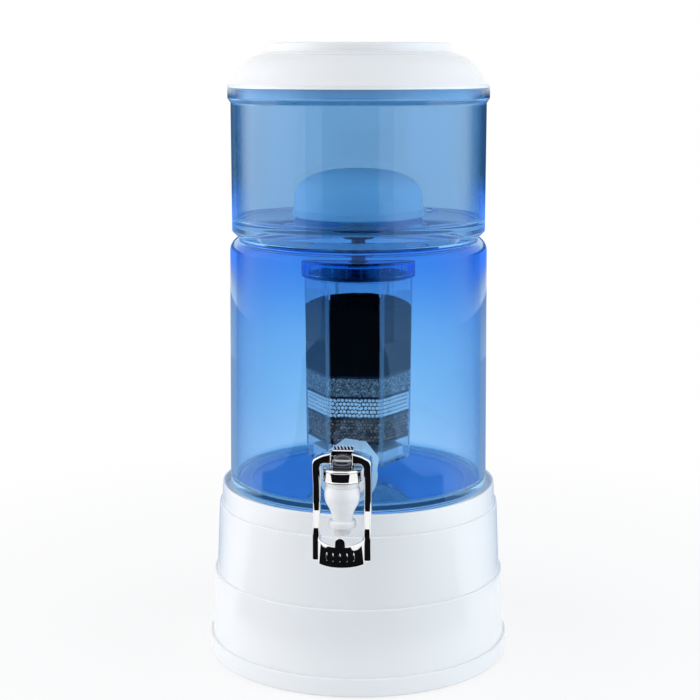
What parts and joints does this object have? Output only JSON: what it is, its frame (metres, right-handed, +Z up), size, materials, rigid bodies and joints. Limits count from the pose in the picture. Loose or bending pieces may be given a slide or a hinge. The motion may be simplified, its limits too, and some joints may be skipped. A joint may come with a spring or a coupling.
{
  "type": "gravity water filter dispenser",
  "caption": "Gravity water filter on a round stand: blue upper tank with ceramic dome, hanging faceted filter cartridge, tinted glass tank below and a push-lever tap.",
  "frame": {"origin": "on the tank axis, in the plane of the floor that the rubber feet stand on", "axes": "+Z up along the tank axis, -Y towards the tap, +X to the right as seen from the tap's side"},
  "size_m": [0.272, 0.3216, 0.5444],
  "materials": {
    "stand_white": "glossy moulded, slightly cool white",
    "foot_rubber": "matte",
    "pad_silicone": "translucent, satin",
    "tank_glass": "clear tinted, smooth",
    "tap_white": "glossy moulded white",
    "washer_silicone": "translucent, satin",
    "nut_white": "satin moulded white",
    "bonnet_chrome": "polished",
    "spring_steel": "drawn wire",
    "stem_grey": "satin moulded",
    "cup_silicone": "soft, satin",
    "pin_steel": "turned",
    "lever_chrome": "polished",
    "upper_blue": "clear tinted, glossy",
    "ceramic_white": "fine porous, unglazed",
    "plate_white": "satin moulded",
    "nut_dark": "satin moulded",
    "ring_rubber": "satin",
    "cap_blue": "clear tinted, glossy",
    "housing_clear": "clear, glossy",
    "screen_plastic": "fine mesh",
    "carbon_black": "fine grains",
    "mineral_grey": "crushed granules",
    "balls_white": "small fired balls",
    "balls_dark": "small fired balls",
    "pad_fibre": "soft fibre pad",
    "lid_white": "glossy moulded white"
  },
  "bodies": {
    "stand": {"base_stand": "stand_white", "base_feet": "foot_rubber", "base_pad": "pad_silicone"},
    "tank": {"glass_tank": "tank_glass", "tap_body": "tap_white", "tap_outer_washer": "washer_silicone", "tap_inner_washer": "washer_silicone", "tap_nut": "nut_white", "tap_bonnet": "bonnet_chrome", "tap_spring": "spring_steel"},
    "plunger": {"tap_stem": "stem_grey", "tap_seat_cup": "cup_silicone", "lever_pin": "pin_steel"},
    "lever": {"tap_lever": "lever_chrome"},
    "upper": {"upper_tank": "upper_blue", "ceramic_dome": "ceramic_white", "dome_base": "plate_white", "dome_washer": "washer_silicone", "stem_nut": "nut_dark"},
    "neck": {"neck_ring": "ring_rubber"},
    "cartridge": {"cartridge_cap": "cap_blue", "cartridge_gasket": "washer_silicone", "cartridge_body": "housing_clear", "bed_screens": "screen_plastic", "carbon_bed": "carbon_black", "mineral_bed": "mineral_grey", "white_ball_bed": "balls_white", "dark_ball_bed": "balls_dark", "outlet_pad": "pad_fibre"},
    "lid": {"lid": "lid_white"}
  },
  "joints": [
    {"name": "tank_lift", "type": "slide", "parent": "stand", "child": "tank", "axis": [0, 0, 1], "range_m": [0, 0.06]},
    {"name": "stem_lift", "type": "slide", "parent": "tank", "child": "plunger", "axis": [0, 0, 1], "range_m": [0, 0.0021], "deforming": ["tap_spring"]},
    {"name": "lever_push", "type": "hinge", "parent": "plunger", "child": "lever", "pos_m": [0, -0.162, 0.2126], "axis": [1, 0, 0], "range_deg": [0, 12], "stiffness_Nm_per_rad": 1.2, "springref_deg": -14.32},
    {"name": "upper_lift", "type": "slide", "parent": "tank", "child": "upper", "axis": [0, 0, 1], "range_m": [0, 0.24]},
    {"name": "cartridge_drop", "type": "slide", "parent": "upper", "child": "neck", "axis": [0, 0, -1], "range_m": [0, 0.01]},
    {"name": "cartridge_turn", "type": "hinge", "parent": "neck", "child": "cartridge", "pos_m": [0, 0, 0.35], "axis": [0, 0, -1], "range_deg": [0, 900]},
    {"name": "lid_lift", "type": "slide", "parent": "upper", "child": "lid", "axis": [0, 0, 1], "range_m": [0, 0.1]}
  ],
  "couplings": [
    {"joint": "stem_lift", "follows": "lever_push", "m_per_rad": 0.01},
    {"joint": "cartridge_drop", "follows": "cartridge_turn", "m_per_rad": 0.000636}
  ]
}
